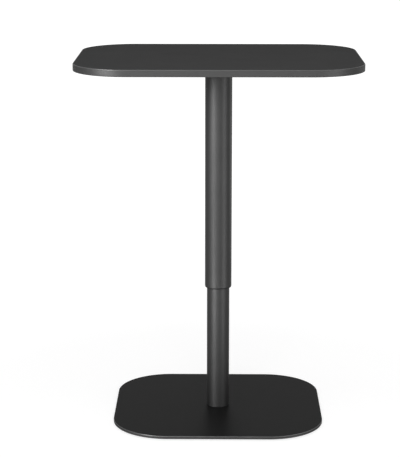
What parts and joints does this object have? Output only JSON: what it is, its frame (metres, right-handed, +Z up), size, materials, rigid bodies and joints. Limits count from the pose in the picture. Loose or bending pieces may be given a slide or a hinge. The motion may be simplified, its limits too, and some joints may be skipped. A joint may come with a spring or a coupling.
{
  "type": "telescoping pedestal table",
  "caption": "Black pedestal table whose rounded rectangular panel rises and falls on a telescoping round column, locked by a gas spring with a lever under the panel, over a flat plate base",
  "frame": {"origin": "on the floor, under the axis of the column", "axes": "+Z up along the column, +X along the long side of the panel towards the lever, +Y to the back"},
  "size_m": [0.62, 0.476, 0.8113],
  "materials": {
    "panel_board": "matt black laminate",
    "coated_steel": "satin black powder coat",
    "zinc_steel": "zinc plated",
    "bare_steel": "machined",
    "chrome": "hard chrome, polished",
    "cylinder_paint": "semi-gloss black",
    "aluminium": "machined",
    "brass": "turned",
    "acetal": "moulded, matt",
    "grip_plastic": "moulded, fine texture",
    "glide_plastic": "moulded nylon",
    "rubber": "matt"
  },
  "bodies": {
    "base": {"base_plate": "coated_steel", "tube_foot": "bare_steel", "foot_bolts": "zinc_steel", "inner_tube": "coated_steel", "inner_tube_bush": "acetal", "gas_cylinder": "cylinder_paint", "cylinder_end_plug": "bare_steel", "rod_guide": "aluminium", "rod_seal": "rubber", "cylinder_steady": "acetal", "glide_front_left": "glide_plastic", "glide_front_right": "glide_plastic", "glide_rear_left": "glide_plastic", "glide_rear_right": "glide_plastic"},
    "upper": {"table_top": "panel_board", "top_inserts": "brass", "mounting_plate": "coated_steel", "mounting_screws": "zinc_steel", "outer_tube": "coated_steel", "outer_tube_bush": "acetal", "guide_key": "bare_steel", "piston_rod": "chrome", "piston": "aluminium", "piston_ring": "rubber", "rod_anchor": "bare_steel", "rod_lock_nut": "zinc_steel", "stop_bumper": "rubber", "lever_bracket": "coated_steel", "bracket_screws": "zinc_steel", "lever_pivot": "zinc_steel", "pivot_clips": "zinc_steel"},
    "lever": {"release_lever": "coated_steel", "lever_grip": "grip_plastic"},
    "valve": {"release_pin": "bare_steel"}
  },
  "joints": [
    {"name": "column_slide", "type": "slide", "parent": "base", "child": "upper", "axis": [0, 0, 1], "range_m": [-0.262, 0.038]},
    {"name": "lever_hinge", "type": "hinge", "parent": "upper", "child": "lever", "pos_m": [0.058, 0, 0.77835], "axis": [0, -1, 0], "range_deg": [0, 2.46], "stiffness_Nm_per_rad": 5, "springref_deg": -2.86},
    {"name": "valve_slide", "type": "slide", "parent": "upper", "child": "valve", "axis": [0, 0, -1], "range_m": [0, 0.0025]}
  ],
  "couplings": [
    {"joint": "valve_slide", "follows": "lever_hinge", "m_per_rad": 0.058}
  ]
}
